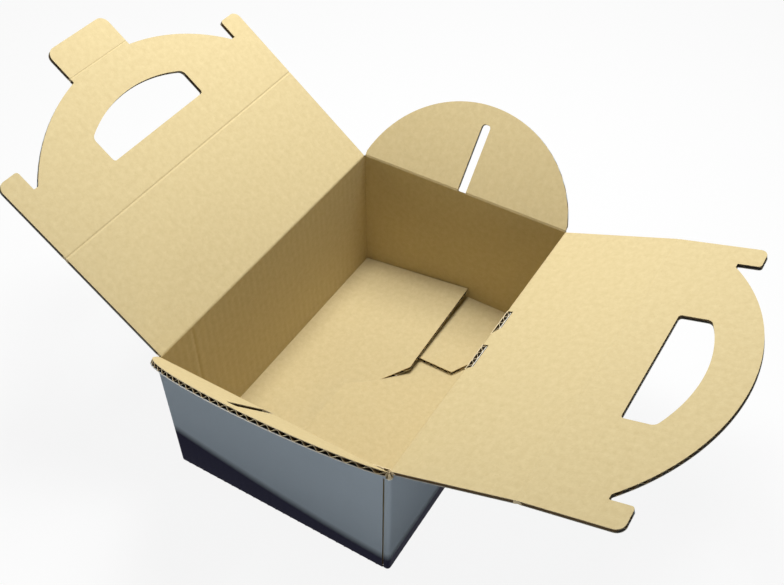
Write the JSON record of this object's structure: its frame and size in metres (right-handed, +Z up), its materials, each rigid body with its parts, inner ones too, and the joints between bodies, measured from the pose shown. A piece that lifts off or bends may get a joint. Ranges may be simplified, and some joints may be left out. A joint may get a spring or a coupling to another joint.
{
  "type": "cardboard carry box",
  "caption": "Open corrugated carry box with folding lids that become two handle boards, slotted round end flaps and an interlocked floor.",
  "frame": {"origin": "middle of the tray's footprint, on the surface that the box stands on", "axes": "+X across the box from the lid with the tongue to the other lid, +Y along it to the back end flap, +Z up"},
  "size_m": [0.5927, 0.4057, 0.2798],
  "materials": {
    "kraft_board": "matt kraft liner",
    "printed_board": "printed kraft liner, pale field and dark blue foot"
  },
  "bodies": {
    "tray": {"tray": "printed_board"},
    "left_lid": {"left_lid": "kraft_board"},
    "left_handle": {"left_handle": "kraft_board"},
    "lock_tongue": {"lock_tongue": "kraft_board"},
    "right_lid": {"right_lid": "kraft_board"},
    "right_handle": {"right_handle": "kraft_board"},
    "back_flap": {"back_flap": "kraft_board"},
    "front_flap": {"front_flap": "kraft_board"}
  },
  "joints": [
    {"name": "left_lid_crease", "type": "hinge", "parent": "tray", "child": "left_lid", "pos_m": [-0.103, 0, 0.132], "axis": [0, 1, 0], "range_deg": [-48.5, 137.5]},
    {"name": "left_handle_crease", "type": "hinge", "parent": "left_lid", "child": "left_handle", "pos_m": [-0.18357, 0, 0.19609], "axis": [0, -1, 0], "range_deg": [0, 86]},
    {"name": "tongue_crease", "type": "hinge", "parent": "left_handle", "child": "lock_tongue", "pos_m": [-0.26692, 0, 0.26239], "axis": [0, 1, 0], "range_deg": [0, 90]},
    {"name": "right_lid_crease", "type": "hinge", "parent": "tray", "child": "right_lid", "pos_m": [0.103, 0, 0.132], "axis": [0, -1, 0], "range_deg": [-31.6, 154.4]},
    {"name": "right_handle_crease", "type": "hinge", "parent": "right_lid", "child": "right_handle", "pos_m": [0.19872, 0, 0.1699], "axis": [0, 1, 0], "range_deg": [-5.2, 80.8]},
    {"name": "back_flap_crease", "type": "hinge", "parent": "tray", "child": "back_flap", "pos_m": [0, 0.148, 0.132], "axis": [-1, 0, 0], "range_deg": [-66.8, 57.4]},
    {"name": "front_flap_crease", "type": "hinge", "parent": "tray", "child": "front_flap", "pos_m": [0, -0.148, 0.132], "axis": [1, 0, 0], "range_deg": [-61.5, 62.7]}
  ]
}
